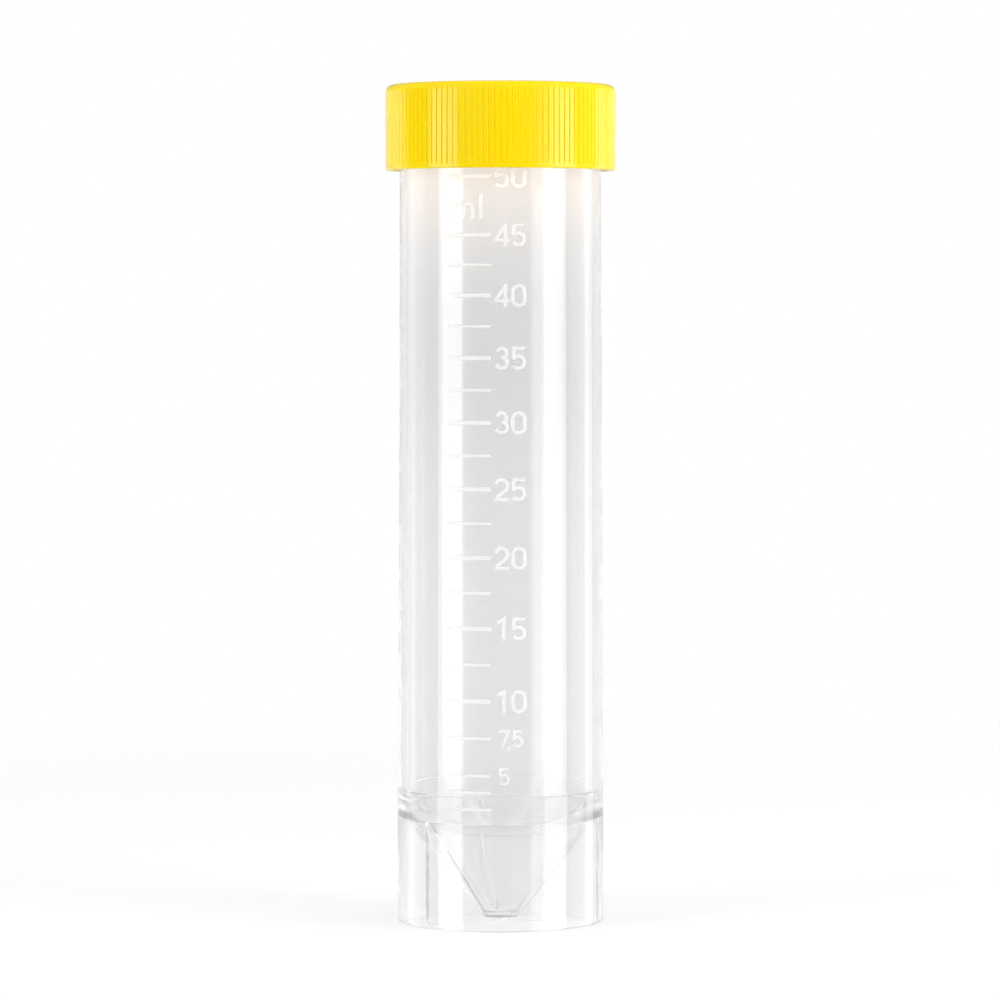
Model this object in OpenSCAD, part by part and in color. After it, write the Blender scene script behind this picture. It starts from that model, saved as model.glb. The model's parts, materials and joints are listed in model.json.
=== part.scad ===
// Self-standing 50 ml conical tube with a ribbed screw cap.
// Millimetres, +Z up. The origin is the centre of the foot ring's underside, and the moulded scale faces -Y.

/* [Tube] */
// Length of the tube, from foot to rim
tube_len = 115; // [112:1:140]
// Outer diameter of the body at the neck
body_d = 28; // [25:0.5:32]
// How much the body's radius grows from the rim down to the foot
body_draft = 0.3; // [0:0.05:0.4]
// Wall at the mouth
mouth_wall = 0.75; // [0.6:0.05:1.1]
// Wall at the lower end of the straight bore
low_wall = 1.35; // [0.9:0.05:1.6]
// Chamfer on both edges of the rim
rim_chamfer = 0.2; // [0.1:0.05:0.3]

/* [Conical bottom] */
// Angle between the cone's two sides
cone_angle = 75; // [70:1:84]
// Wall of the cone
cone_wall = 1.1; // [0.8:0.05:1.6]
// Diameter of the flat tip, outside
tip_d = 5; // [4:0.25:7]
// Height of the tip above the surface that the foot stands on
tip_lift = 1; // [0.5:0.25:2]
// Floor of the cavity at the tip
tip_wall = 1.3; // [1:0.1:1.8]

/* [Foot] */
// How far the foot stands proud of the body
foot_step = 0.1; // [0.05:0.05:0.5]
// Height of the foot
foot_h = 18.6; // [17:0.1:24]
// Wall of the foot
foot_wall = 1.1; // [0.9:0.05:1.6]
// Webs between cone and foot
web_n = 3; // [3:1:8]
// Thickness of a web
web_t = 0.6; // [0.5:0.1:1.5]
// Height of the webs above the surface that the foot stands on
web_lift = 0.5; // [0.25:0.25:2]
// Angle of the first web from the middle of the scale
web_turn = -47; // [-60:1:-30]

/* [Thread] */
// Rise of the thread in one turn
thread_pitch = 4; // [3.5:0.25:4.5]
// Turns of the thread
thread_turns = 1.5; // [1:0.25:1.5]
// How far the thread stands out from the neck
thread_depth = 0.8; // [0.6:0.05:1]
// Width of the thread at its root
thread_root_w = 2; // [1.6:0.1:2.4]
// Width of the thread at its crest
thread_crest_w = 0.9; // [0.6:0.1:1.2]
// Distance from the rim to the middle of the thread's upper end
thread_start = 2.2; // [2:0.1:2.6]
// Angle over which each end of the thread fades out
thread_fade = 30; // [20:5:60]

/* [Cap] */
// Height of the cap
cap_h = 11.85; // [11.5:0.05:16]
// Thickness of the cap's top
cap_top = 1.5; // [1.2:0.1:2]
// Wall of the cap, with its ribs
cap_wall = 1.05; // [0.9:0.05:1.5]
// Radial play between the tube's thread and the cap's wall
cap_play = 0.15; // [0.1:0.05:0.3]
// Radius of the cap's top edge
cap_edge_r = 1; // [0.6:0.1:1.2]
// Ribs around the cap
rib_n = 120; // [90:2:130]
// Depth of the grooves between the ribs
rib_depth = 0.15; // [0.1:0.05:0.4]
// Plain band under the ribs
rib_low = 0.5; // [0.3:0.1:1.5]
// Plain band between the ribs and the rounded top edge
rib_high = 0.2; // [0.1:0.1:1]
// Share of the rib pitch that a groove is wide at its floor
groove_floor = 0.1; // [0.05:0.05:0.3]
// Share of the rib pitch that a groove is wide at its mouth
groove_mouth = 0.35; // [0.25:0.05:0.8]
// Length of the sealing plug
plug_len = 3; // [2:0.25:4]
// Wall of the sealing plug
plug_wall = 0.9; // [0.6:0.05:1.2]
// Radial play between the plug and the mouth
plug_play = 0.08; // [0.05:0.01:0.15]

/* [Scale] */
// Height of the 5 ml mark
mark_z_5 = 21.5; // [20.5:0.1:23]
// Height of the 25 ml mark
mark_z_25 = 60.8; // [58:0.1:63]
// Height of the 50 ml mark
mark_z_50 = 103.5; // [98:0.1:104]
// Gap between the marks in the cone, which are 1 ml apart
cone_mark_gap = 2.3; // [2:0.05:2.6]
// Length of the marks
mark_len = 5.8; // [4:0.1:7]
// Height of the numbered marks' bars
mark_w = 0.6; // [0.4:0.05:0.8]
// Height of the unnumbered marks' bars
half_mark_w = 0.38; // [0.3:0.02:0.5]
// Distance from the axis to the right end of the marks
mark_right = 1.3; // [1:0.1:3]
// Height of the numbers
digit_h = 3.2; // [2.4:0.1:3.6]
// Height of the small numbers near the cone
small_digit_h = 2.4; // [1.8:0.1:2.8]
// Height of the unit, the letters ml
unit_h = 3.4; // [2.4:0.1:3.6]
// How far the unit starts to the right of the marks' left ends
unit_inset = 0.3; // [0:0.1:1]
// Gap between a mark and its number
digit_gap = 0.4; // [0.3:0.1:1.2]
// Gap between a mark and its small number
small_digit_gap = 1; // [0.4:0.1:2]
// How far the scale stands out from the body
relief = 0.15; // [0.1:0.05:0.3]

/* [Hidden] */
$fn = 96;

over = 1;                 // overshoot of cutting shapes
sunk = 0.25;              // depth to which raised shapes are sunk into the wall
body_r = body_d / 2;
mouth_r = body_r - mouth_wall;
low_body_r = body_r + body_draft;
low_r = low_body_r - low_wall;
foot_r = low_body_r + foot_step;
pocket_r = foot_r - foot_wall;
foot_chamfer = foot_step * 1.5;

// The cone's two faces are parallel, so the inner one lies a slant wall above the outer one.
cone_slope = 1 / tan(cone_angle / 2);
cone_rise = cone_wall / sin(cone_angle / 2);
function cone_outer_z(r) = tip_lift + (r - tip_d / 2) * cone_slope;
function cone_inner_z(r) = cone_outer_z(r) + cone_rise;
cavity_tip_z = tip_lift + tip_wall;
cavity_tip_r = tip_d / 2 + (cavity_tip_z - tip_lift - cone_rise) / cone_slope;
cavity_low_z = cone_inner_z(low_r);

crest_r = body_r + thread_depth;
cap_bore_r = crest_r + cap_play;
cap_r = cap_bore_r + cap_wall;
cap_z = tube_len + cap_top - cap_h;
rib_z = cap_z + rib_low;
rib_h = cap_h - rib_low - rib_high - cap_edge_r;
rib_pitch = 2 * PI * cap_r / rib_n;
plug_r = mouth_r - plug_play;
plug_taper = plug_wall / 3;

// A parabola through the three stated heights. Marks under 5 ml keep an even gap.
function mark_z(ml) = ml < 5
    ? mark_z_5 - (5 - ml) * cone_mark_gap
    : mark_z_5 * (ml - 25) * (ml - 50) / 900
      - mark_z_25 * (ml - 5) * (ml - 50) / 500
      + mark_z_50 * (ml - 5) * (ml - 25) / 1125;
numbered = [[5, "5"], [7.5, "7,5"], [10, "10"], [15, "15"], [20, "20"], [25, "25"], [30, "30"],
            [35, "35"], [40, "40"], [45, "45"], [50, "50"]];
unnumbered = [3, 4, 12.5, 17.5, 22.5, 27.5, 32.5, 37.5, 42.5];
last_small_ml = 7.5;      // numbers up to this one are small
unit_ml = 47.4;           // the unit stands at the height of this volume

// Digits are drawn one unit high, as strokes along lines and arcs.
pen = 0.145;              // width of a stroke
digit_w = 0.66;           // width of a digit
advance = 0.74;           // distance from one digit to the next
comma_w = 0.04;           // distance from a comma to the next digit, as it is tucked under the last one
letter_gap = 0.18;        // gap between the letters m and l
arch_r = 0.2;             // radius of the letter m's two arches
stem_h = 0.68;            // height of the letter m
bowl_r = (digit_w - pen) / 2;
mid_x = digit_w / 2;
foot_y = pen / 2;
head_y = 1 - pen / 2;
low_bowl = [mid_x, foot_y + bowl_r];
high_bowl = [mid_x, head_y - bowl_r];

function arc(centre, r, from, to, steps = 12) =
    [for (i = [0:steps]) let (a = from + (to - from) * i / steps) centre + r * [cos(a), sin(a)]];
function unit(v) = v / norm(v);
function ahead(line, i) = unit(line[i + 1] - line[i]);
function bend(line, i) =
    let (last = len(line) - 1, a = ahead(line, max(i - 1, 0)), b = ahead(line, min(i, last - 1)),
         m = unit(a + b))
    [-m.y, m.x] / (m * a);

module stroke(line)
    polygon(concat([for (i = [0:len(line) - 1]) line[i] + bend(line, i) * pen / 2],
                   [for (i = [len(line) - 1:-1:0]) line[i] - bend(line, i) * pen / 2]));

module oval(r)
    polygon(concat(arc(high_bowl, r, 0, 180), arc(low_bowl, r, 180, 360)));

module glyph(c) {
    if (c == "0") difference() {
        oval(bowl_r + pen / 2);
        oval(bowl_r - pen / 2);
    }
    if (c == "1") stroke([[0.14, 0.76], [0.43, head_y], [0.43, 0]]);
    if (c == "2") {
        stroke(concat(arc(high_bowl, bowl_r, 170, -40), [[0.1, pen]]));
        stroke([[0.02, foot_y], [digit_w, foot_y]]);
    }
    if (c == "3") {
        stroke(arc([mid_x, head_y - 0.21], 0.21, 165, -90));
        stroke(arc([mid_x, foot_y + 0.24], 0.24, 90, -165));
    }
    if (c == "4") {
        stroke([[0.49, 0], [0.49, 1]]);
        stroke([[0.49, head_y], [0.08, 0.31]]);
        stroke([[0, 0.27], [digit_w + 0.02, 0.27]]);
    }
    if (c == "5") {
        stroke([[0.6, head_y], [0.13, head_y], [0.09, 0.44]]);
        stroke(arc([mid_x - 0.01, 0.33], 0.26, 145, -150));
    }
    if (c == "7") stroke([[0.02, head_y], [0.58, head_y], [0.22, 0]]);
    if (c == ",") stroke([[-0.05, 0.11], [-0.18, -0.16]]);
    if (c == "m") {
        stroke([[foot_y, 0], [foot_y, stem_h]]);
        for (i = [1, 3])
            stroke(concat(arc([foot_y + i * arch_r, stem_h - foot_y - arch_r], arch_r, 165, 0),
                          [[foot_y + (i + 1) * arch_r, 0]]));
    }
    if (c == "l") stroke([[foot_y, 0], [foot_y, 1]]);
}

// Each sign's place in its row
function width_of(c) = c == "," ? comma_w : c == "m" ? 4 * arch_r + pen + letter_gap : advance;
function start_of(row, i) = i == 0 ? 0 : start_of(row, i - 1) + width_of(row[i - 1]);

module label(row, h)
    scale(h) for (i = [0:len(row) - 1]) translate([start_of(row, i), -0.5]) glyph(row[i]);

module mark(ml, w)
    translate([-mark_right - mark_len, mark_z(ml) - w / 2]) square([mark_len, w]);

// The scale as a flat drawing, seen from the front
module scale_drawing() {
    for (n = numbered) {
        small = n[0] <= last_small_ml;
        mark(n[0], small ? half_mark_w : mark_w);
        translate([(small ? small_digit_gap : digit_gap) - mark_right, mark_z(n[0])])
            label(n[1], small ? small_digit_h : digit_h);
    }
    for (ml = unnumbered) mark(ml, half_mark_w);
    translate([unit_inset - mark_right - mark_len, mark_z(unit_ml)]) label("ml", unit_h);
}

// The scale follows the step of the foot and stands out from the body and the foot alike.
module scale_relief()
    intersection() {
        rotate_extrude() polygon([
            [body_r - sunk, 0], [foot_r + relief, 0], [foot_r + relief, foot_h - foot_chamfer],
            [low_body_r + relief, foot_h], [body_r + relief, tube_len], [body_r - sunk, tube_len]]);
        rotate([90, 0, 0]) linear_extrude(height = foot_r + over) scale_drawing();
    }

// One turn of the thread is drawn in flat steps of this angle.
thread_step = 7.5;
thread_n = ceil(thread_turns * 360 / thread_step);
thread_sweep = thread_n * thread_step;
function fade(a) = min(1, a / thread_fade, (thread_sweep - a) / thread_fade);
function thread_section(a) =
    let (z = tube_len - thread_start - thread_pitch * a / 360, f = max(fade(a), 0.01),
         root = body_r - sunk, crest = body_r + thread_depth * f - sunk * (1 - f))
    [for (p = [[root, -thread_root_w / 2], [crest, -thread_crest_w / 2],
               [crest, thread_crest_w / 2], [root, thread_root_w / 2]])
        [p.x * cos(-a), p.x * sin(-a), z + p.y]];

module thread()
    polyhedron(
        points = [for (i = [0:thread_n]) each thread_section(i * thread_step)],
        faces = concat(
            [[0, 1, 2, 3]],
            [for (i = [0:thread_n - 1], k = [0:3]) let (m = (k + 1) % 4)
                [4 * i + k, 4 * i + 4 + k, 4 * i + 4 + m, 4 * i + m]],
            [[4 * thread_n + 3, 4 * thread_n + 2, 4 * thread_n + 1, 4 * thread_n]]));

module tube_outside()
    rotate_extrude() polygon([
        [0, 0], [foot_r, 0], [foot_r, foot_h - foot_chamfer], [low_body_r, foot_h],
        [body_r, tube_len - rim_chamfer], [body_r - rim_chamfer, tube_len], [0, tube_len]]);

module cavity()
    rotate_extrude() polygon([
        [0, cavity_tip_z], [cavity_tip_r, cavity_tip_z], [low_r, cavity_low_z],
        [mouth_r, tube_len - rim_chamfer], [mouth_r + rim_chamfer + over, tube_len + over],
        [0, tube_len + over]]);

// The space between the cone and the foot, open below
module foot_pocket()
    difference() {
        rotate_extrude() polygon([
            [0, -over], [pocket_r, -over], [pocket_r, cone_outer_z(pocket_r)],
            [tip_d / 2, tip_lift], [0, tip_lift]]);
        for (i = [0:web_n - 1]) rotate(web_turn - 90 + i * 360 / web_n)
            translate([tip_d / 4, -web_t / 2, web_lift]) cube([foot_r, web_t, foot_h]);
    }

module tube()
    color([0.93, 0.94, 0.95, 0.45]) union() {
        difference() {
            tube_outside();
            cavity();
            foot_pocket();
        }
        thread();
        scale_relief();
    }

module cap_shell()
    rotate_extrude() polygon(concat(
        [[0, cap_z + cap_h], [0, tube_len], [plug_r - plug_wall, tube_len],
         [plug_r - plug_wall, tube_len - plug_len], [plug_r - plug_taper, tube_len - plug_len],
         [plug_r, tube_len - plug_len / 2], [plug_r, tube_len], [cap_bore_r, tube_len],
         [cap_bore_r, cap_z], [cap_r, cap_z]],
        arc([cap_r - cap_edge_r, cap_z + cap_h - cap_edge_r], cap_edge_r, 0, 90, 4)));

// A groove's section, from its floor out past the crests of the ribs on the same slopes
groove_half = rib_pitch * groove_floor / 2;
groove_flare = rib_pitch * (groove_mouth - groove_floor) / 2;
module groove()
    linear_extrude(height = rib_h) polygon([
        [-rib_depth, -groove_half], [rib_depth, -groove_half - 2 * groove_flare],
        [rib_depth, groove_half + 2 * groove_flare], [-rib_depth, groove_half]]);

module cap()
    color([1.0, 0.86, 0.02]) difference() {
        cap_shell();
        for (i = [0:rib_n - 1])
            rotate((i + 0.5) * 360 / rib_n) translate([cap_r, 0, rib_z]) groove();
    }

tube();
cap();
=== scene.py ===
import json
import math

import bmesh
import bpy
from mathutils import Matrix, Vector
from mathutils.geometry import delaunay_2d_cdt

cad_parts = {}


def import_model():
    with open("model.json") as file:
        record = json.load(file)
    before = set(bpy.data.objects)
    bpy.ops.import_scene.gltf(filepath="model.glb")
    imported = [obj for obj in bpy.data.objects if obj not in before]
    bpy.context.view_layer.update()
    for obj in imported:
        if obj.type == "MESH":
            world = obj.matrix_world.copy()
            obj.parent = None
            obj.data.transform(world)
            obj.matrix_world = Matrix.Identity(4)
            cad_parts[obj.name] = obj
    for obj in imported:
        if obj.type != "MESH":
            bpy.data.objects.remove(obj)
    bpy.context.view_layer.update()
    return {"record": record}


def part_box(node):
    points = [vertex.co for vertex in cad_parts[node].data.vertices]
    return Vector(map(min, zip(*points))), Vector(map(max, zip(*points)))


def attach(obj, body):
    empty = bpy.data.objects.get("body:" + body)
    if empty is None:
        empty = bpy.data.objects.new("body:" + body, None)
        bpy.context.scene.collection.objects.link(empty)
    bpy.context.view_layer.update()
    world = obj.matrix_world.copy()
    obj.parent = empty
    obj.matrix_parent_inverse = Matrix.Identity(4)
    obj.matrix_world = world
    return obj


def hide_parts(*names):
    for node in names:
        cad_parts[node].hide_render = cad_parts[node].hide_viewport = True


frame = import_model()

# Shapes are worked out in millimetres and angles in degrees.
# The scale faces -Y, which is at an angle of -90.
MM = 0.001
FRONT = -90.0


def millimetres(metres):
    return round(metres / MM, 3)


# Sizes that the frame gives
tube_high, cap_low, cap_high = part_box("tube")[1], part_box("cap")[0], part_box("cap")[1]
mounts = {m["name"]: m["dims"] for m in frame["record"]["mounts"]}
TUBE_LEN = millimetres(tube_high.z)
FOOT_R = mounts["foot_barrel"]["r_mm"]
CAP_R = math.floor(min(cap_high.x, cap_high.y) / MM * 1000) / 1000
CAP_Z = millimetres(cap_low.z)
CAP_TOP_Z = millimetres(cap_high.z)

# Walls and foot, as in the part's source. The body widens a little from the rim down to the foot.
# All roundings are radii.
FOOT_H = 18.6
FOOT_STEP = 0.1
FOOT_CHAMFER = 1.5 * FOOT_STEP
LOW_BODY_R = FOOT_R - FOOT_STEP
BODY_R = LOW_BODY_R - 0.3
MOUTH_R = BODY_R - 0.75
LOW_R = LOW_BODY_R - 1.35
POCKET_R = FOOT_R - 1.1
CONE_ANGLE = 75.0
CONE_WALL = 1.1
TIP_R = 2.5
TIP_LIFT = 1.0
TIP_WALL = 1.3
SOLE_ROUND = 0.25
POCKET_ROUND = 0.2
STEP_ROUND = 0.15
RIM_ROUND = 0.25
CAVITY_ROUND, CAVITY_TIP_ROUND = 8.0, 1.2
TIP_ROUND = 0.4
WEB_COUNT = 3
WEB_HALF = 0.3
WEB_LIFT = 0.5
WEB_START = 1.25
WEB_TURN = -47.0

# Thread of the neck, and of the cap, which fills the gaps between the neck's turns
THREAD_PITCH = 4.0
THREAD_TURNS = 1.5
THREAD_DEPTH = 0.8
THREAD_ROOT = 2.0
THREAD_CREST = 0.9
THREAD_TOP = TUBE_LEN - 2.2
THREAD_FADE = 30.0
CAP_THREAD_TURNS = 1.2
ROW_STEP = 0.15
ROWS_END = 0.4

# Cap. Its grooves are shallower than the source's, because deeper ones look too dark.
CAP_ROOF = 1.5
BORE_R = CAP_R - 1.05
BORE_CHAMFER = 0.3
CAP_EDGE = 1.0
CAP_ROUND = 0.2
CAP_STEPS = 12
CROWN = (CAP_R - CAP_EDGE - 0.1, CAP_R - CAP_EDGE - 0.6, 1.0)
BORE_ROUND, PLUG_INNER_ROUND, PLUG_BEND_ROUND = 0.3, 0.4, 0.8
CEILING_INNER_R = 0.5
RIB_COUNT = 120
RIB_DEPTH = 0.1
RIB_SHARP = 25.0
RIB_STEPS = 8
RIB_LOW, RIB_FADE, FADE_ROWS = 0.5, 0.35, 6
PLUG_R = MOUTH_R - 0.08
PLUG_WALL, PLUG_TAPER, PLUG_LEN = 0.9, 0.3, 3.0

# Scale
MARK_Z = {5: 21.5, 25: 60.8, 50: 103.5}
CONE_MARK_GAP = 2.3
MARK_LEN, MARK_RIGHT = 5.8, 1.3
MARK_W, HALF_MARK_W = 0.6, 0.38
DIGIT_H, DIGIT_GAP = 3.2, 0.4
SMALL_DIGIT_H, SMALL_DIGIT_GAP = 2.4, 1.0
UNIT_H, UNIT_INSET, UNIT_ML = 3.4, 0.3, 47.4
RELIEF, DRAFT = 0.15, 0.05
END_ROUND = 0.4

# How far the two windows in the wall that hold the scale reach past its marks: degrees and millimetres
WINDOW_SIDE = 3
WINDOW_FOOT, WINDOW_LOW, WINDOW_TOP = 0.6, 0.2, 0.3

# Meshes: columns between two webs, the angle of a sharp edge, the distance in metres at which points
# merge, what counts as the same in millimetres, and the kind of faces that the triangulation gives:
# those asked for, cut where they have a hole
COLUMNS_PER_GAP = 78
SHARP = 50.0
MERGE = 2e-7
SAME_R = 1e-6
SAME_POINT = 1e-5
VALID_FACES = 4

# Glass paths end dark after four mirrorings or twelve bounces, so the shaders let them out before that.
LAST_MIRRORING, LAST_BOUNCE = 3.5, 10.5


# ---------------------------------------------------------------- outlines

def turned(radius, angle, z):
    """The point at this radius, angle and height."""
    a = math.radians(angle)
    return (radius * math.cos(a), radius * math.sin(a), z)


def smooth(t):
    """0 below 0, 1 above 1 and an even S between them."""
    t = min(max(t, 0.0), 1.0)
    return t * t * (3 - 2 * t)


def rounded(corners, steps=5):
    """A section through corners (r, z, radius), with an arc at each corner that has a radius."""
    found = []
    for i, (r, z, radius) in enumerate(corners):
        here = Vector((r, z))
        if not radius:
            found.append((r, z))
            continue
        back = (Vector(corners[i - 1][:2]) - here).normalized()
        on = (Vector(corners[i + 1][:2]) - here).normalized()
        half = back.angle(on) / 2
        centre = here + (back + on).normalized() * radius / math.sin(half)
        start = here + back * radius / math.tan(half) - centre
        sweep = start.angle_signed(here + on * radius / math.tan(half) - centre)
        for k in range(steps + 1):
            a = -sweep * k / steps
            found.append((centre.x + start.x * math.cos(a) - start.y * math.sin(a),
                          centre.y + start.x * math.sin(a) + start.y * math.cos(a)))
    return found


def with_levels(section, levels):
    """The same section with points added where it passes these heights."""
    found = [section[0]]
    for (r0, z0), (r1, z1) in zip(section, section[1:]):
        crossed = [z for z in levels if min(z0, z1) < z < max(z0, z1)]
        for z in sorted(crossed, reverse=z1 < z0):
            found.append((r0 + (r1 - r0) * (z - z0) / (z1 - z0), z))
        found.append((r1, z1))
    return found


def steps_between(low, high, step):
    count = math.ceil((high - low) / step)
    return [low + (high - low) * i / count for i in range(count + 1)]


# ---------------------------------------------------------------- meshes

class Shell:
    """Points in millimetres and faces of one piece. Points that coincide become one in the end."""

    def __init__(self):
        self.points, self.faces, self.finishes = [], [], []

    def add(self, points):
        first = len(self.points)
        self.points.extend(points)
        return list(range(first, len(self.points)))

    def face(self, corners, finish=0):
        self.faces.append(tuple(corners))
        self.finishes.append(finish)

    def skin(self, rows, closed=True, window=None):
        """Joins rows of point numbers by four-sided faces, apart from window's (row, columns)."""
        for k, (low, high) in enumerate(zip(rows, rows[1:])):
            count = len(low) if closed else len(low) - 1
            for i in range(count):
                if window and any(k == row and i in columns for row, columns in window):
                    continue
                j = (i + 1) % len(low)
                self.face((low[i], low[j], high[j], high[i]))

    def fan(self, row, top):
        """Closes a ring of points onto one point."""
        tip = self.add([top])[0]
        for i, a in enumerate(row):
            self.face((a, row[(i + 1) % len(row)], tip))

    def thin_out(self, fine, coarse):
        """Joins a fine ring to a coarse one, where each coarse side meets the same number of fine ones."""
        share = len(fine) // len(coarse)
        for i, a in enumerate(coarse):
            run = [fine[(share * i + k) % len(fine)] for k in range(share + 1)]
            self.face([a] + run + [coarse[(i + 1) % len(coarse)]])

    def piece(self, name, materials, sharp=SHARP):
        mesh = bpy.data.meshes.new(name)
        mesh.from_pydata([[c * MM for c in p] for p in self.points], [], self.faces)
        for material in materials:
            mesh.materials.append(material)
        mesh.polygons.foreach_set("material_index", self.finishes)
        work = bmesh.new()
        work.from_mesh(mesh)
        bmesh.ops.remove_doubles(work, verts=work.verts, dist=MERGE)
        bmesh.ops.dissolve_degenerate(work, dist=MERGE, edges=work.edges)
        bmesh.ops.recalc_face_normals(work, faces=work.faces)
        work.to_mesh(mesh)
        work.free()
        mesh.shade_smooth()
        mesh.set_sharp_from_angle(angle=math.radians(sharp))
        made = bpy.data.objects.new(name, mesh)
        bpy.context.scene.collection.objects.link(made)
        return made


def ridge(angle, z, top, turns):
    """How far a right-handed thread stands out at this angle and height, from 0 to 1."""
    first = -angle % 360.0
    best = 0.0
    for along in (first, first + 360.0):
        if along < turns * 360.0:
            off = abs(z - (top - THREAD_PITCH * along / 360.0))
            ends = min(along, turns * 360.0 - along) / THREAD_FADE
            flank = (THREAD_ROOT / 2 - off) / ((THREAD_ROOT - THREAD_CREST) / 2)
            best = max(best, smooth(flank) * smooth(ends))
    return best


# ---------------------------------------------------------------- scale

def arc(centre, radius, start, end, steps=10):
    turns = [math.radians(start + (end - start) * i / steps) for i in range(steps + 1)]
    return [(centre[0] + radius * math.cos(a), centre[1] + radius * math.sin(a)) for a in turns]


PEN = 0.145
DIGIT_W = 0.66
ADVANCE = 0.74
COMMA_W = 0.04
LETTER_GAP = 0.18
ARCH_R = 0.2
STEM_H = 0.68
OVERLAP = 0.05
BOWL_R = (DIGIT_W - PEN) / 2
MID_X = DIGIT_W / 2
FOOT_Y, HEAD_Y = PEN / 2, 1 - PEN / 2
LOW_BOWL, HIGH_BOWL = (MID_X, FOOT_Y + BOWL_R), (MID_X, HEAD_Y - BOWL_R)
LEFT_X, RIGHT_X = MID_X - BOWL_R, MID_X + BOWL_R


def arch(i):
    """A shoulder of the m and the leg to its right. i is the place of its middle, in radii."""
    shoulder = arc((FOOT_Y + i * ARCH_R, STEM_H - FOOT_Y - ARCH_R), ARCH_R, 165, 0)
    return shoulder + [(FOOT_Y + (i + 1) * ARCH_R, 0)]


# Each sign as strokes along lines and arcs, one unit high
GLYPHS = {
    "0": [[(RIGHT_X, 0.5 - OVERLAP)] + arc(HIGH_BOWL, BOWL_R, 0, 180) + [(LEFT_X, 0.5 - OVERLAP)],
          [(LEFT_X, 0.5 + OVERLAP)] + arc(LOW_BOWL, BOWL_R, 180, 360) + [(RIGHT_X, 0.5 + OVERLAP)]],
    "1": [[(0.14, 0.76), (0.43, HEAD_Y), (0.43, 0)]],
    "2": [arc(HIGH_BOWL, BOWL_R, 170, -40) + [(0.1, PEN)], [(0.02, FOOT_Y), (DIGIT_W, FOOT_Y)]],
    "3": [arc((MID_X, HEAD_Y - 0.21), 0.21, 165, -90), arc((MID_X, FOOT_Y + 0.24), 0.24, 90, -165)],
    "4": [[(0.49, 0), (0.49, 1)], [(0.49, HEAD_Y), (0.08, 0.31)], [(0, 0.27), (DIGIT_W + 0.02, 0.27)]],
    "5": [[(0.6, HEAD_Y), (0.13, HEAD_Y), (0.09, 0.44)], arc((MID_X - 0.01, 0.33), 0.26, 145, -150)],
    "7": [[(0.02, HEAD_Y), (0.58, HEAD_Y), (0.22, 0)]],
    ",": [[(-0.05, 0.11), (-0.18, -0.16)]],
    "m": [[(FOOT_Y, 0), (FOOT_Y, STEM_H)], arch(1), arch(3)],
    "l": [[(FOOT_Y, 0), (FOOT_Y, 1)]],
}
WIDTHS = {",": COMMA_W, "m": 4 * ARCH_R + PEN + LETTER_GAP}


def mark_z(ml):
    """A parabola through the three stated heights. Marks under 5 ml keep an even gap."""
    if ml < 5:
        return MARK_Z[5] - (5 - ml) * CONE_MARK_GAP
    return sum(z * math.prod((ml - other) / (own - other) for other in MARK_Z if other != own)
               for own, z in MARK_Z.items())


def label(row, x, z, height):
    """The strokes of a row of signs: (line, half width)."""
    strokes = []
    for sign in row:
        for line in GLYPHS[sign]:
            strokes.append(([(x + height * p, z + height * (q - 0.5)) for p, q in line], height * PEN / 2))
        x += height * WIDTHS.get(sign, ADVANCE)
    return strokes


def mark(ml, width):
    z = mark_z(ml)
    return [([(-MARK_RIGHT - MARK_LEN, z), (-MARK_RIGHT, z)], width / 2)]


def scale_strokes():
    """Every stroke of the scale, as seen from the front."""
    strokes = label("ml", UNIT_INSET - MARK_RIGHT - MARK_LEN, mark_z(UNIT_ML), UNIT_H)
    for ml in (3, 4, 12.5, 17.5, 22.5, 27.5, 32.5, 37.5, 42.5):
        strokes += mark(ml, HALF_MARK_W)
    for ml, row in ((5, "5"), (7.5, "7,5")):
        strokes += mark(ml, HALF_MARK_W)
        strokes += label(row, SMALL_DIGIT_GAP - MARK_RIGHT, mark_z(ml), SMALL_DIGIT_H)
    for ml in range(10, 51, 5):
        strokes += mark(ml, MARK_W)
        strokes += label(str(ml), DIGIT_GAP - MARK_RIGHT, mark_z(ml), DIGIT_H)
    return strokes


def outline(line, half, trim=0.0):
    """The closed edge of a stroke, counterclockwise, with slightly rounded ends that may be trimmed."""
    line = [Vector(p) for p in line]
    ways = [(b - a).normalized() for a, b in zip(line, line[1:])]
    line[0] += ways[0] * trim
    line[-1] -= ways[-1] * trim
    sides = []
    for i in range(len(line)):
        before, after = ways[max(i - 1, 0)], ways[min(i, len(ways) - 1)]
        middle = (before + after).normalized()
        sides.append(Vector((-middle.y, middle.x)) * half / middle.dot(after))

    def end(p, way, side):
        back = way * END_ROUND * half
        return [p - back - side, p - side * (1 - END_ROUND), p + side * (1 - END_ROUND), p - back + side]

    left = [p + s for p, s in zip(line, sides)]
    right = [p - s for p, s in zip(line, sides)]
    return (right[1:-1] + end(line[-1], ways[-1], sides[-1])
            + left[-2:0:-1] + end(line[0], -ways[0], -sides[0]))


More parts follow.
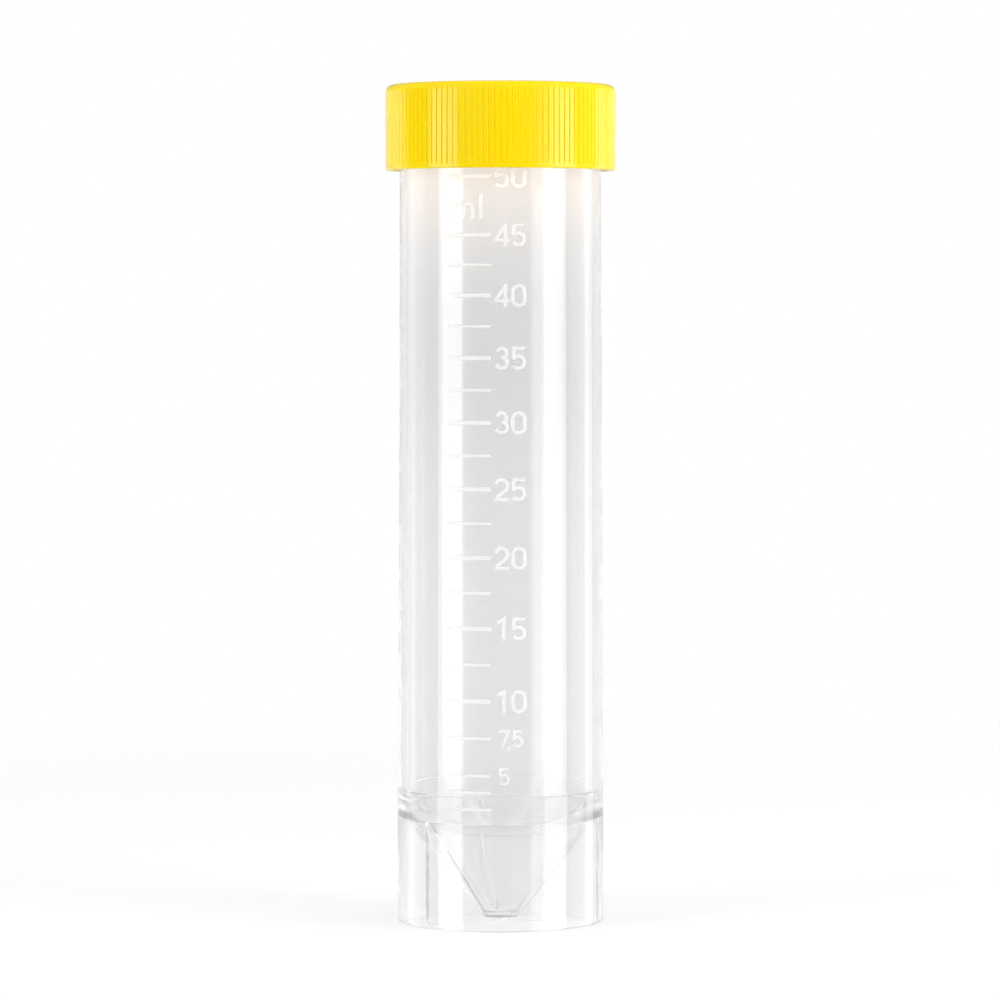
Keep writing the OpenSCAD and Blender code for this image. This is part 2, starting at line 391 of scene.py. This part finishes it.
def scale_window(shell, low, high, radii, angles, strokes, finish):
    """The wall between two heights, with a radius at each, and across the angles. Strokes stand on it."""
    radius = sum(radii) / 2
    across = [radius * math.radians(a - FRONT) for a in angles]
    points = [Vector((u, z)) for u in across for z in (low, high)]
    edges = [(2 * i, 2 * i + 1) for i in range(len(across))]
    bottom, top = list(range(0, len(points), 2)), list(range(len(points) - 1, 0, -2))
    faces = [bottom + top]
    for line, half in strokes:
        unrolled = [(radius * math.asin(x / radius), z) for x, z in line]
        rings = []
        for trim in (0.0, DRAFT):
            edge = outline(unrolled, half - trim, trim)
            rings.append(list(range(len(points), len(points) + len(edge))))
            points += edge
            faces.append(rings[-1])
        edges += list(zip(*rings))
    flat, _, cells, _, _, origins = delaunay_2d_cdt(points, edges, faces, VALID_FACES, SAME_POINT, True)
    # The base is face 0, a stroke's foot has an odd number and its top an even one.
    tops = [any(f and f % 2 == 0 for f in origin) for origin in origins]
    raised = {v for cell, is_top in zip(cells, tops) if is_top for v in cell}
    made = []
    for v, p in enumerate(flat):
        r = radii[0] + (radii[1] - radii[0]) * (p.y - low) / (high - low)
        angle = FRONT + math.degrees(p.x / radius)
        made += shell.add([turned(r + (RELIEF if v in raised else 0.0), angle, p.y)])
    for cell, origin in zip(cells, origins):
        shell.face([made[v] for v in cell], finish if any(origin) else 0)


# ---------------------------------------------------------------- tube

def tube_columns():
    """The angles of the tube's columns. Each web has one at its middle and one at each side."""
    side = math.degrees(math.asin(WEB_HALF / POCKET_R))
    columns = []
    for i in range(WEB_COUNT):
        web = FRONT + WEB_TURN + i * 360.0 / WEB_COUNT
        gap = 360.0 / WEB_COUNT - 2 * side
        columns += [web - side, web]
        columns += [web + side + gap * k / COLUMNS_PER_GAP for k in range(COLUMNS_PER_GAP)]
    return columns


def tube_piece(materials):
    shell = Shell()
    slope = 1 / math.tan(math.radians(CONE_ANGLE / 2))
    rise = CONE_WALL / math.sin(math.radians(CONE_ANGLE / 2))
    pocket_top = TIP_LIFT + (POCKET_R - TIP_R) * slope
    cavity_tip_z = TIP_LIFT + TIP_WALL
    cavity_tip_r = TIP_R + (TIP_WALL - rise) / slope
    cavity_low_z = TIP_LIFT + (LOW_R - TIP_R) * slope + rise
    web_corner = math.hypot(WEB_START, WEB_HALF)

    # From the foot's inner side round the rim to the bottom of the cavity
    columns = tube_columns()
    strokes = scale_strokes()
    reach = [x for line, _ in strokes for x, _ in line]
    left, right = (FRONT + math.degrees(math.asin(x / BODY_R)) for x in (min(reach), max(reach)))
    first = max(i for i, a in enumerate(columns) if a < left - WINDOW_SIDE)
    last = min(i for i, a in enumerate(columns) if a > right + WINDOW_SIDE)
    on_foot = (mark_z(3) - WINDOW_FOOT, mark_z(3) + WINDOW_FOOT)
    on_body = (FOOT_H + WINDOW_LOW, mark_z(50) + DIGIT_H / 2 + WINDOW_TOP)
    section = rounded([
        (POCKET_R, WEB_LIFT, 0), (POCKET_R, 0, POCKET_ROUND), (FOOT_R, 0, SOLE_ROUND),
        (FOOT_R, FOOT_H - FOOT_CHAMFER, STEP_ROUND), (LOW_BODY_R, FOOT_H, STEP_ROUND),
        (BODY_R, TUBE_LEN, RIM_ROUND), (MOUTH_R, TUBE_LEN, RIM_ROUND), (LOW_R, cavity_low_z, CAVITY_ROUND),
        (cavity_tip_r, cavity_tip_z, CAVITY_TIP_ROUND), (0, cavity_tip_z, 0)])
    rim = next(i for i, (_, z) in enumerate(section) if z > on_body[1])
    neck = steps_between(on_body[1], TUBE_LEN - ROWS_END, ROW_STEP)
    outside = with_levels(section[:rim + 1], [*on_foot, on_body[0], *neck])
    rows = []
    for r, z in outside:
        lift = [THREAD_DEPTH * ridge(a, z, THREAD_TOP, THREAD_TURNS) if z > on_body[1] else 0.0
                for a in columns]
        rows.append(shell.add(turned(r + h, a, z) for a, h in zip(columns, lift)))
    heights = [z for _, z in outside]
    windows = [(heights.index(low), range(first, last)) for low in (on_foot[0], on_body[0])]
    for r, z in section[rim + 1:-1]:
        rows.append(shell.add(turned(r, a, z) for a in columns))
    shell.skin(rows, window=windows)
    shell.fan(rows[-1], (0, 0, cavity_tip_z))
    for low, high in (on_foot, on_body):
        radii = [r for r, z in outside if z in (low, high)]
        own = [s for s in strokes if low < s[0][0][1] < high]
        scale_window(shell, low, high, radii, columns[first:last + 1], own, 1)

    # The hollow of the foot: the cone's outer face in the gaps between the webs
    roof = rounded([(web_corner, TIP_LIFT, 0), (TIP_R, TIP_LIFT, TIP_ROUND),
                    (POCKET_R, pocket_top, POCKET_ROUND), (POCKET_R, WEB_LIFT, 0)])
    rings = [[] for _ in roof]
    for i in range(WEB_COUNT):
        web = FRONT + WEB_TURN + i * 360.0 / WEB_COUNT
        gap_rows = []
        for ring, (r, z) in zip(rings, roof):
            side = math.degrees(math.asin(WEB_HALF / r))
            gap = 360.0 / WEB_COUNT - 2 * side
            angles = [web + side + gap * k / COLUMNS_PER_GAP for k in range(COLUMNS_PER_GAP + 1)]
            gap_rows.append(shell.add(turned(r, a, z) for a in angles))
            ring.append(gap_rows[-1])
        shell.skin(gap_rows, closed=False)
    shell.fan([p for part in rings[0] for p in part], (0, 0, TIP_LIFT))
    for i in range(WEB_COUNT):
        web_sides(shell, roof, [ring[i - 1][-1] for ring in rings], [ring[i][0] for ring in rings],
                  FRONT + WEB_TURN + i * 360.0 / WEB_COUNT)
    return shell.piece("tube_shell", materials)


def web_sides(shell, roof, left, right, angle):
    """A web below the roof's edges left and right of it: two sides, the lower edge and the inner end."""
    wide = [i for i, (r, _) in enumerate(roof) if i == 0 or r > roof[i - 1][0] + SAME_R]
    left, right = [left[i] for i in wide], [right[i] for i in wide]
    feet = []
    for side in (left, right):
        feet.append(shell.add((*shell.points[p][:2], WEB_LIFT) for p in side))
    for k in range(len(wide) - 1):
        for side, foot in zip((left, right), feet):
            shell.face((side[k], side[k + 1], foot[k + 1], foot[k]))
        if k < len(wide) - 2:
            shell.face((feet[0][k], feet[0][k + 1], feet[1][k + 1], feet[1][k]))
    middle = shell.add([turned(POCKET_R, angle, WEB_LIFT)])[0]
    shell.face((feet[0][-2], feet[0][-1], middle, feet[1][-1], feet[1][-2]))
    shell.face((left[0], right[0], feet[1][0], feet[0][0]))


# ---------------------------------------------------------------- cap

def groove_share(step):
    """How deep the outline is at one of the steps across a rib, which start at a groove's floor."""
    return 1.0 if step % RIB_STEPS == 0 else 0.0


def cap_piece(materials):
    shell = Shell()
    fine, coarse = RIB_COUNT * RIB_STEPS, RIB_COUNT * 2
    low = CAP_Z + RIB_LOW
    levels = steps_between(low, low + RIB_FADE, RIB_FADE / FADE_ROWS)
    outside = with_levels(rounded([
        (BORE_R + 2 * BORE_CHAMFER, CAP_Z, 0), (CAP_R, CAP_Z, CAP_ROUND), (CAP_R, CAP_TOP_Z, CAP_EDGE),
        (CROWN[0], CAP_TOP_Z, 0)], steps=CAP_STEPS), levels)
    rows = []
    for r, z in outside:
        floor_r = CAP_R - RIB_DEPTH * smooth((z - low) / RIB_FADE)
        edge = [min(r, CAP_R + (floor_r - CAP_R) * groove_share(i)) for i in range(fine)]
        rows.append(shell.add(turned(edge_r, i * 360.0 / fine, z) for i, edge_r in enumerate(edge)))
    shell.skin(rows)

    ceiling = CAP_TOP_Z - CAP_ROOF
    plug_low = ceiling - PLUG_LEN
    bore = steps_between(CAP_Z + BORE_CHAMFER, ceiling - ROWS_END, ROW_STEP)
    inside = with_levels(rounded([
        (BORE_R + BORE_CHAMFER, CAP_Z, 0), (BORE_R, CAP_Z + BORE_CHAMFER, 0), (BORE_R, ceiling, BORE_ROUND),
        (PLUG_R, ceiling, CAP_ROUND), (PLUG_R, ceiling - PLUG_LEN / 2, PLUG_BEND_ROUND),
        (PLUG_R - PLUG_TAPER, plug_low, CAP_ROUND), (PLUG_R - PLUG_WALL, plug_low, CAP_ROUND),
        (PLUG_R - PLUG_WALL, ceiling, PLUG_INNER_ROUND), (CEILING_INNER_R, ceiling, 0)]), bore)
    inner = []
    for r, z in inside:
        on_bore = r > BORE_R - SAME_R and z > CAP_Z
        lift = [THREAD_DEPTH * ridge(360.0 * i / coarse, z, THREAD_TOP - THREAD_PITCH / 2, CAP_THREAD_TURNS)
                if on_bore else 0.0 for i in range(coarse)]
        inner.append(shell.add(turned(r - h, 360.0 * i / coarse, z) for i, h in enumerate(lift)))
    shell.skin(inner)
    shell.fan(inner[-1], (0, 0, ceiling))
    shell.thin_out(rows[0], inner[0])
    crown = [shell.add(turned(r, 360.0 * i / coarse, CAP_TOP_Z) for i in range(coarse))
             for r in CROWN[1:]]
    shell.thin_out(rows[-1], crown[0])
    shell.skin(crown)
    shell.fan(crown[-1], (0, 0, CAP_TOP_Z))
    return shell.piece("cap_shell", materials, RIB_SHARP)


# ---------------------------------------------------------------- materials

# The clear plastic's colour from the foot up, as painted shade by height, with a painted dark band from
# 15.5 to 17.5 mm and painted warm light under the cap: height in mm and colour
TUBE_PAINTED_SHADES = (
    (13.5, (0.91, 0.91, 0.91)), (15.5, (0.83, 0.83, 0.83)), (17.5, (0.83, 0.83, 0.83)),
    (21.0, (0.86, 0.86, 0.86)), (47.0, (0.85, 0.85, 0.85)), (60.0, (0.838, 0.838, 0.838)),
    (76.0, (0.81, 0.81, 0.813)), (86.0, (0.815, 0.815, 0.815)), (94.0, (0.862, 0.852, 0.847)),
    (103.0, (0.975, 0.935, 0.895)))

# The heights between which the scale's painted glow near the cap sets in, and its radiance and colour there
PAINTED_GLOW_Z = (99.5, 102.0)
PAINTED_GLOW = 0.15
PAINTED_GLOW_COLOUR = (1.0, 0.94, 0.88, 1.0)

FROSTED = ((0.97, 0.97, 0.97), (0.99, 0.99, 0.99))
YELLOW = ((0.975, 0.67, 0.0003), (0.985, 0.72, 0.0006))
PLASTIC_IOR = 1.49

# What light keeps where it passes straight through the clear wall and the frosted relief
CLEAR_PASS, FROSTED_PASS = (0.95,) * 3, (0.85,) * 3

# A count of a path's turns that is over this is at least one.
ONCE = 0.5


def add(tree, kind, settings=(), **inputs):
    """A shader node of this kind. An input is a value or another node's output. Its name has _ for a
    space, or it is _ and the input's number."""
    made = tree.nodes.new("ShaderNode" + kind)
    for name, value in dict(settings).items():
        setattr(made, name, value)
    for name, value in inputs.items():
        socket = made.inputs[int(name[1:]) if name[1:].isdigit() else name.replace("_", " ")]
        if isinstance(value, bpy.types.NodeSocket):
            tree.links.new(value, socket)
        else:
            socket.default_value = value
    return made


def new_material(name):
    material = bpy.data.materials.new(name)
    material.use_nodes = True
    material.node_tree.nodes.clear()
    return material, material.node_tree


def show(tree, shader):
    tree.links.new(shader, tree.nodes.new("ShaderNodeOutputMaterial").inputs["Surface"])


def noise(tree, waves, stretch=(1, 1, 1), detail=3.0):
    """Noise in the part's own coordinates, with so many waves to a metre times stretch on each axis."""
    place = add(tree, "TexCoord").outputs["Object"]
    mapped = add(tree, "Mapping", Vector=place, Scale=stretch)
    return add(tree, "TexNoise", Vector=mapped.outputs[0], Scale=waves, Detail=detail).outputs["Fac"]


def ramp(tree, value, low, high):
    """Maps 0 to 1 onto low to high."""
    return add(tree, "MapRange", Value=value, To_Min=low, To_Max=high).outputs[0]


def tint(tree, value, dark, light):
    return add(tree, "Mix", {"data_type": "RGBA"}, _0=value, _6=(*dark, 1), _7=(*light, 1)).outputs[2]


def never_ends_dark(tree, shader, colour):
    """Lamps' rays, and rays that have turned as often as they may, pass straight through, tinted."""
    clear = add(tree, "BsdfTransparent", Color=(*colour, 1))
    path = add(tree, "LightPath").outputs
    trapped = add(tree, "Math", {"operation": "GREATER_THAN"}, _0=path["Glossy Depth"], _1=LAST_MIRRORING)
    late = add(tree, "Math", {"operation": "GREATER_THAN"}, _0=path["Ray Depth"], _1=LAST_BOUNCE)
    ends = add(tree, "Math", {"operation": "MAXIMUM"}, _0=trapped.outputs[0], _1=late.outputs[0]).outputs[0]
    straight = add(tree, "Math", {"operation": "MAXIMUM"}, _0=path["Is Shadow Ray"], _1=ends).outputs[0]
    return add(tree, "MixShader", _0=straight, _1=shader, _2=clear.outputs[0]).outputs[0]


def clear_plastic():
    """Faintly streaked along the tube. Its colour by height is painted shade: painted warm light under the
    cap, greyest below that, a painted dark band above the foot, clearest in the foot.
    """
    material, tree = new_material("clear_plastic")
    height = add(tree, "SeparateXYZ", Vector=add(tree, "TexCoord").outputs["Object"]).outputs["Z"]
    share = add(tree, "MapRange", Value=height, From_Max=TUBE_LEN * MM).outputs[0]
    # Painted shade: the plastic is made lighter or darker, and warm under the cap, by height.
    shade = add(tree, "ValToRGB", Fac=share)
    for i, (z, colour) in enumerate(TUBE_PAINTED_SHADES):
        stop = shade.color_ramp.elements[i] if i < 2 else shade.color_ramp.elements.new(1.0)
        stop.position, stop.color = z / TUBE_LEN, (*colour, 1)
    streaks = ramp(tree, noise(tree, 420, (1, 1, 0.06)), low=0.985, high=1.015)
    colour = add(tree, "VectorMath", {"operation": "SCALE"}, Vector=shade.outputs[0], Scale=streaks)
    bump = add(tree, "Bump", Height=noise(tree, 260, (1, 1, 0.1)), Strength=0.25, Distance=0.00003)
    body = add(tree, "BsdfPrincipled", Base_Color=colour.outputs[0],
               Roughness=ramp(tree, noise(tree, 900, (1, 1, 0.4)), low=0.02, high=0.07),
               IOR=PLASTIC_IOR, Transmission_Weight=0.93, Normal=bump.outputs[0])
    show(tree, never_ends_dark(tree, body.outputs[0], CLEAR_PASS))
    return material


def frosted_plastic():
    """Near the cap it has a faint painted glow, emission that stands in for the light that the cap and the
    neck's wall scatter to it.
    """
    material, tree = new_material("frosted_plastic")
    height = add(tree, "SeparateXYZ", Vector=add(tree, "TexCoord").outputs["Object"]).outputs["Z"]
    # Painted glow: emission that lights the marks just under the cap.
    painted_glow = add(tree, "MapRange", Value=height,
               From_Min=PAINTED_GLOW_Z[0] * MM, From_Max=PAINTED_GLOW_Z[1] * MM, To_Max=PAINTED_GLOW)
    bump = add(tree, "Bump", Height=noise(tree, 9000), Strength=0.4, Distance=0.00002)
    body = add(tree, "BsdfPrincipled", Base_Color=tint(tree, noise(tree, 2500), *FROSTED),
               Roughness=ramp(tree, noise(tree, 1500), low=0.4, high=0.55),
               IOR=PLASTIC_IOR, Transmission_Weight=0.6, Normal=bump.outputs[0],
               Emission_Color=PAINTED_GLOW_COLOUR, Emission_Strength=painted_glow.outputs[0])
    show(tree, never_ends_dark(tree, body.outputs[0], FROSTED_PASS))
    return material


def yellow_plastic():
    material, tree = new_material("yellow_plastic")
    bump = add(tree, "Bump", Height=noise(tree, 5000), Strength=0.1, Distance=0.00001)
    body = add(tree, "BsdfPrincipled", Base_Color=tint(tree, noise(tree, 180, (1, 1, 0.3)), *YELLOW),
               Roughness=ramp(tree, noise(tree, 1100, (1, 1, 0.5)), low=0.11, high=0.17),
               IOR=PLASTIC_IOR, Normal=bump.outputs[0],
               Subsurface_Weight=1.0, Subsurface_Radius=(1.0, 0.8, 0.2), Subsurface_Scale=0.0008)
    show(tree, body.outputs[0])
    return material


# ---------------------------------------------------------------- studio

# The camera stands in front of the scale, above the tube's middle, and is tipped down.
CAMERA_DISTANCE = 0.650
CAMERA_HEIGHT = 0.087
CAMERA_SIDE = -0.00007
CAMERA_PITCH = 2.487
CAMERA_LENS, CAMERA_SENSOR = 167.76, 36.0

# Tall soft boxes round the part: name, angle from the camera's side, width and radiance
SOFT_BOXES = (
    ("front_left", -59.0, 0.384, 2.6), ("front_right", 64.4, 0.365, 3.5),
    ("front_soft", 42.0, 0.18, 1.0), ("rim_left", -117.0, 0.3, 0.5),
    ("side_right", 98.0, 0.3, 0.4), ("rim_right", 118.0, 0.2, 1.3))
BOX_DISTANCE = 0.70
BOX_HEIGHT = 1.2
BOX_MIDDLE = 0.3

# The world's radiance: to matt surfaces, and mirrored beside the part and behind it, out to an angle
# from +Y with a soft edge
ROOM_LIGHT = 0.67
DARK_SIDE = 0.08
BEHIND = 0.82
BACKDROP_ANGLE = 68.0
BACKDROP_EDGE = 0.05

# The rings round the part: how far out they are, the heights of the sky, and its radiance
BACKDROP_R = 0.68
SKY_R, SKY_LOW, SKY_HIGH = 0.66, 0.19, 1.2
SKY = 0.35

# The floor's radius and shades, the distances from its middle between which it turns into the
# backdrop's white, and what is added to it for the eye
FLOOR_R = 0.36
FLOOR_SHADES = ((0.85,) * 3, (0.87,) * 3)
FLOOR_WHITE = (0.12, 0.33)
FLOOR_LIFT = 0.11
STAGE_ANGLES = range(0, 360, 5)


def camera():
    data = bpy.data.cameras.new("camera")
    data.lens, data.sensor_width = CAMERA_LENS, CAMERA_SENSOR
    made = bpy.data.objects.new("camera", data)
    made.location = (CAMERA_SIDE, -CAMERA_DISTANCE, CAMERA_HEIGHT)
    made.rotation_euler = (math.radians(90 - CAMERA_PITCH), 0, 0)
    bpy.context.scene.collection.objects.link(made)
    bpy.context.scene.camera = made


def soft_box(name, angle, width, radiance):
    data = bpy.data.lights.new(name, "AREA")
    data.shape, data.size, data.size_y = "RECTANGLE", width, BOX_HEIGHT
    data.energy = radiance * math.pi * width * BOX_HEIGHT
    made = bpy.data.objects.new(name, data)
    a = math.radians(FRONT + angle)
    made.location = (BOX_DISTANCE * math.cos(a), BOX_DISTANCE * math.sin(a), BOX_MIDDLE)
    made.rotation_euler = (math.radians(90), 0, a + math.radians(90))
    made.visible_camera = False
    bpy.context.scene.collection.objects.link(made)


def clear_sight(tree):
    """The light path's outputs, and 1 for what the camera sees directly or through glass."""
    path = add(tree, "LightPath").outputs
    seen = add(tree, "Math", {"operation": "MAXIMUM"},
               _0=path["Is Camera Ray"], _1=path["Is Transmission Ray"]).outputs[0]
    return path, seen


def world():
    """White to the eye and through glass. An outer face mirrors it pale behind the part, dark beside."""
    made = bpy.data.worlds.new("studio")
    made.use_nodes = True
    tree = made.node_tree
    tree.nodes.clear()
    path, seen = clear_sight(tree)
    way = add(tree, "SeparateXYZ", Vector=add(tree, "TexCoord").outputs["Generated"]).outputs
    flat = add(tree, "CombineXYZ", X=way["X"], Y=way["Y"])
    length = add(tree, "VectorMath", {"operation": "LENGTH"}, Vector=flat.outputs[0]).outputs["Value"]
    ahead = add(tree, "Math", {"operation": "DIVIDE"}, _0=way["Y"], _1=length).outputs[0]
    edge = math.cos(math.radians(BACKDROP_ANGLE))
    backdrop = add(tree, "MapRange", {"interpolation_type": "SMOOTHSTEP"}, Value=ahead,
                   From_Min=edge - BACKDROP_EDGE, From_Max=edge + BACKDROP_EDGE,
                   To_Min=DARK_SIDE, To_Max=BEHIND).outputs[0]
    inside = add(tree, "Math", {"operation": "GREATER_THAN"},
                 _0=path["Transmission Depth"], _1=ONCE).outputs[0]
    backdrop = add(tree, "Math", {"operation": "MAXIMUM"}, _0=backdrop, _1=inside).outputs[0]
    mirrored = add(tree, "Mix", _0=path["Is Glossy Ray"], _2=ROOM_LIGHT, _3=backdrop).outputs[0]
    strength = add(tree, "Mix", _0=seen, _2=mirrored, _3=1.0).outputs[0]
    light = add(tree, "Background", Color=(1, 1, 1, 1), Strength=strength)
    tree.links.new(light.outputs[0], tree.nodes.new("ShaderNodeOutputWorld").inputs["Surface"])
    bpy.context.scene.world = made


def stage_ring(name, radius, low, high, material):
    """A ring round the part between two heights that lamps' light and the eye pass through."""
    shell = Shell()
    shell.skin([shell.add(turned(radius / MM, a, z / MM) for a in STAGE_ANGLES) for z in (low, high)])
    made = shell.piece(name, [material])
    made.visible_camera = made.visible_diffuse = made.visible_shadow = False
    return made


def glow_where(name, radiance, choose):
    """A material that shines where choose, which gets the light path, says 1, and is clear elsewhere."""
    material, tree = new_material(name)
    chosen = choose(tree, add(tree, "LightPath").outputs)
    clear = add(tree, "BsdfTransparent", Color=(1, 1, 1, 1))
    shine = add(tree, "Emission", Color=(1, 1, 1, 1), Strength=radiance)
    show(tree, add(tree, "MixShader", _0=chosen, _1=clear.outputs[0], _2=shine.outputs[0]).outputs[0])
    material.cycles.emission_sampling = "NONE"
    return material


def unturned(tree, path):
    """1 for a look that nothing has mirrored or scattered."""
    turns = add(tree, "Math", {"operation": "ADD"}, _0=path["Glossy Depth"], _1=path["Diffuse Depth"])
    return add(tree, "Math", {"operation": "LESS_THAN"}, _0=turns.outputs[0], _1=ONCE).outputs[0]


def outer_mirroring(tree, path):
    """1 for a ray that doesn't come out of the clear plastic."""
    return add(tree, "Math", {"operation": "SUBTRACT"}, _0=1.0, _1=path["Is Transmission Ray"]).outputs[0]


def rings():
    """Straight through the part, the eye meets the backdrop's white and not the lamps. Mirrored in faces
    that look up, it meets an even grey above the part."""
    made = stage_ring("backdrop", BACKDROP_R, BOX_MIDDLE - BOX_HEIGHT, BOX_MIDDLE + BOX_HEIGHT,
                      glow_where("backdrop", 1.0, unturned))
    made.visible_glossy = False
    made = stage_ring("sky", SKY_R, SKY_LOW, SKY_HIGH, glow_where("sky", SKY, outer_mirroring))
    made.visible_transmission = False


def floor_material():
    """White where it is lit, keeps the part's shadow, and turns into the backdrop's white further out."""
    material, tree = new_material("floor")
    path, seen = clear_sight(tree)
    seen = add(tree, "Math", {"operation": "MAXIMUM"}, _0=seen, _1=path["Is Glossy Ray"]).outputs[0]
    place = add(tree, "TexCoord").outputs["Object"]
    out = add(tree, "VectorMath", {"operation": "LENGTH"}, Vector=place).outputs["Value"]
    far = add(tree, "MapRange", {"interpolation_type": "SMOOTHSTEP"}, Value=out,
              From_Min=FLOOR_WHITE[0], From_Max=FLOOR_WHITE[1]).outputs[0]
    matt = add(tree, "BsdfDiffuse", Color=tint(tree, noise(tree, 300), *FLOOR_SHADES))
    lift = add(tree, "Math", {"operation": "MULTIPLY"}, _0=seen, _1=FLOOR_LIFT)
    lifted = add(tree, "Emission", Strength=lift.outputs[0])
    near = add(tree, "AddShader", _0=matt.outputs[0], _1=lifted.outputs[0])
    white = add(tree, "Emission", Strength=seen)
    show(tree, add(tree, "MixShader", _0=far, _1=near.outputs[0], _2=white.outputs[0]).outputs[0])
    return material


def floor():
    """The floor. Mirrored and refracted rays don't see it, so it doesn't grey the clear foot."""
    shell = Shell()
    ring = shell.add(turned(FLOOR_R / MM, a, 0) for a in STAGE_ANGLES)
    shell.fan(ring, (0, 0, 0))
    made = shell.piece("floor", [floor_material()])
    made.visible_glossy = made.visible_transmission = False


camera()
for soft_box_values in SOFT_BOXES:
    soft_box(*soft_box_values)
world()
rings()
floor()

tube = tube_piece([clear_plastic(), frosted_plastic()])
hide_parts("tube")
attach(tube, "tube")

cap = cap_piece([yellow_plastic()])
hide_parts("cap")
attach(cap, "cap")

bpy.context.scene.view_settings.view_transform = "Standard"
